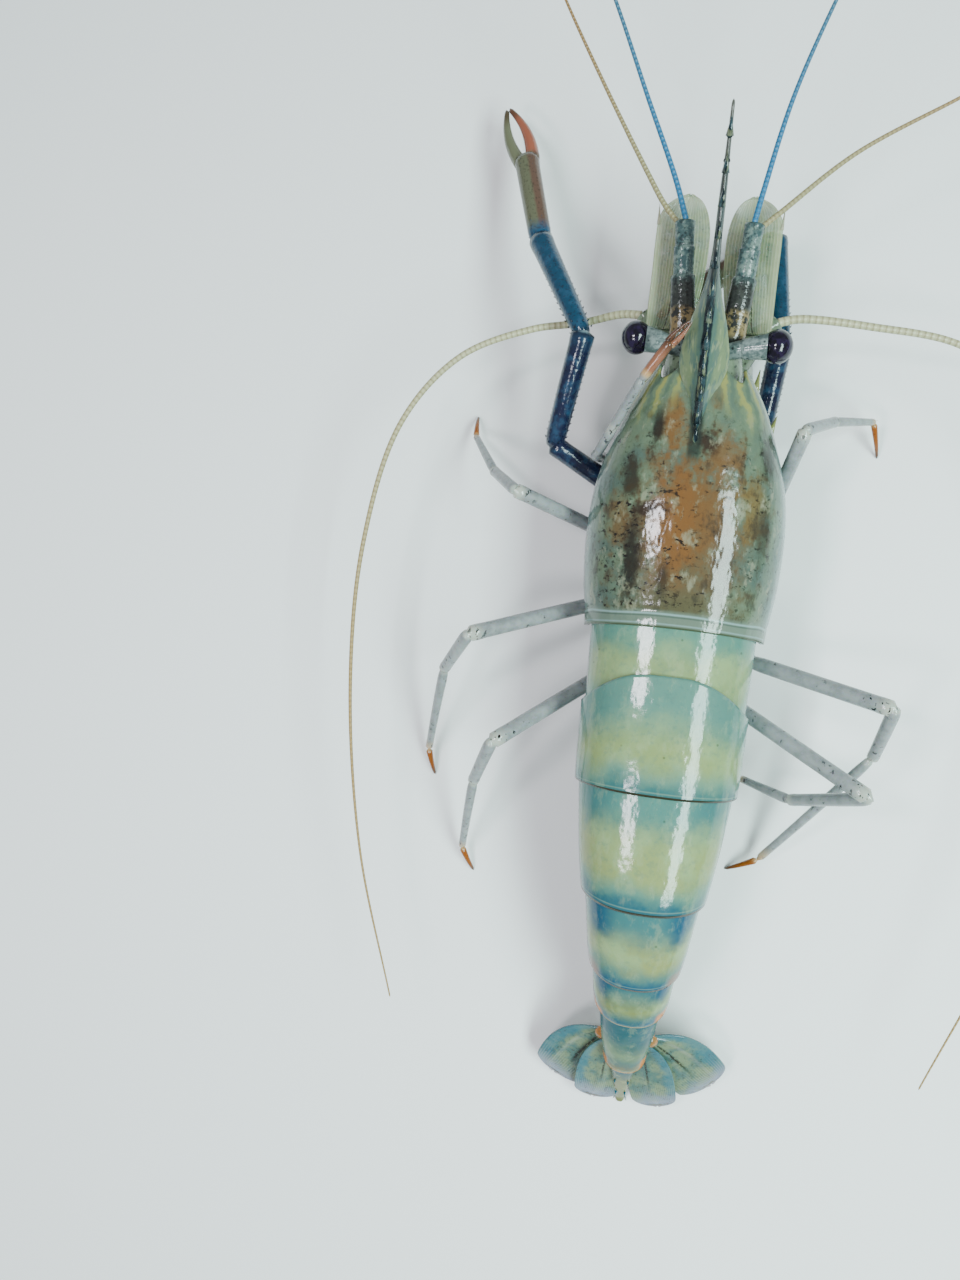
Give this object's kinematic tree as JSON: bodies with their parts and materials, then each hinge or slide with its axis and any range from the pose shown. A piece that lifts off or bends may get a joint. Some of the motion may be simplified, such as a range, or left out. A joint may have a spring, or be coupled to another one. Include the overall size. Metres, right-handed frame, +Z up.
{
  "type": "giant river prawn",
  "caption": "Life-size river prawn standing on its walking legs with arched back, spread tail fan, long blue claws and sweeping feelers, as a still display model.",
  "frame": {"origin": "on the floor under the middle of the bounding box", "axes": "+Y towards the head, +X to the animal's right side, +Z up"},
  "size_m": [0.1652, 0.2936, 0.0572],
  "materials": {
    "shell_carapace": "wet gloss",
    "shell_abdomen": "wet gloss",
    "rostral_crest": "wet gloss",
    "flesh": "satin",
    "stalk": "wet gloss",
    "eye": "wet gloss",
    "whip_blue": "wet gloss",
    "whip_pale": "wet gloss",
    "antenna_scale": "wet gloss",
    "claw": "wet gloss",
    "tail_fan": "wet gloss",
    "swimmeret": "satin",
    "leg": "wet gloss"
  },
  "bodies": {
    "root": {"carapace": "shell_carapace", "rostrum": "rostral_crest", "head": "flesh", "thorax": "flesh", "abdomen_1": "shell_abdomen", "abdomen_2": "shell_abdomen", "abdomen_3": "shell_abdomen", "abdomen_4": "shell_abdomen", "abdomen_5": "shell_abdomen", "abdomen_6": "shell_abdomen", "telson": "shell_abdomen", "uropod_inner_right": "tail_fan", "uropod_inner_left": "tail_fan", "uropod_outer_right": "tail_fan", "uropod_outer_left": "tail_fan", "eyestalk_right": "stalk", "eye_right": "eye", "antennule_stem_right": "stalk", "antenna_base_right": "flesh", "antenna_scale_right": "antenna_scale", "antenna_whip_near_right": "whip_pale", "antenna_whip_far_right": "whip_pale", "maxilliped_right": "leg", "swimmeret_1_right": "swimmeret", "swimmeret_2_right": "swimmeret", "swimmeret_3_right": "swimmeret", "swimmeret_4_right": "swimmeret", "swimmeret_5_right": "swimmeret", "eyestalk_left": "stalk", "eye_left": "eye", "antennule_stem_left": "stalk", "antenna_base_left": "flesh", "antenna_scale_left": "antenna_scale", "antenna_whip_near_left": "whip_pale", "antenna_whip_far_left": "whip_pale", "maxilliped_left": "leg", "swimmeret_1_left": "swimmeret", "swimmeret_2_left": "swimmeret", "swimmeret_3_left": "swimmeret", "swimmeret_4_left": "swimmeret", "swimmeret_5_left": "swimmeret", "antennule_whip_outer_right": "whip_blue", "antennule_whip_outer_left": "whip_blue", "antennule_whip_inner_right": "whip_pale", "antennule_whip_inner_left": "whip_pale", "leg_3_right": "leg", "leg_4_right": "leg", "leg_5_right": "leg", "leg_3_left": "leg", "leg_4_left": "leg", "leg_5_left": "leg", "leg_1_left": "leg", "leg_1_right": "leg", "claw_arm_left": "claw", "claw_hand_left": "claw", "claw_arm_right": "claw", "claw_hand_right": "claw"}
  },
  "joints": []
}
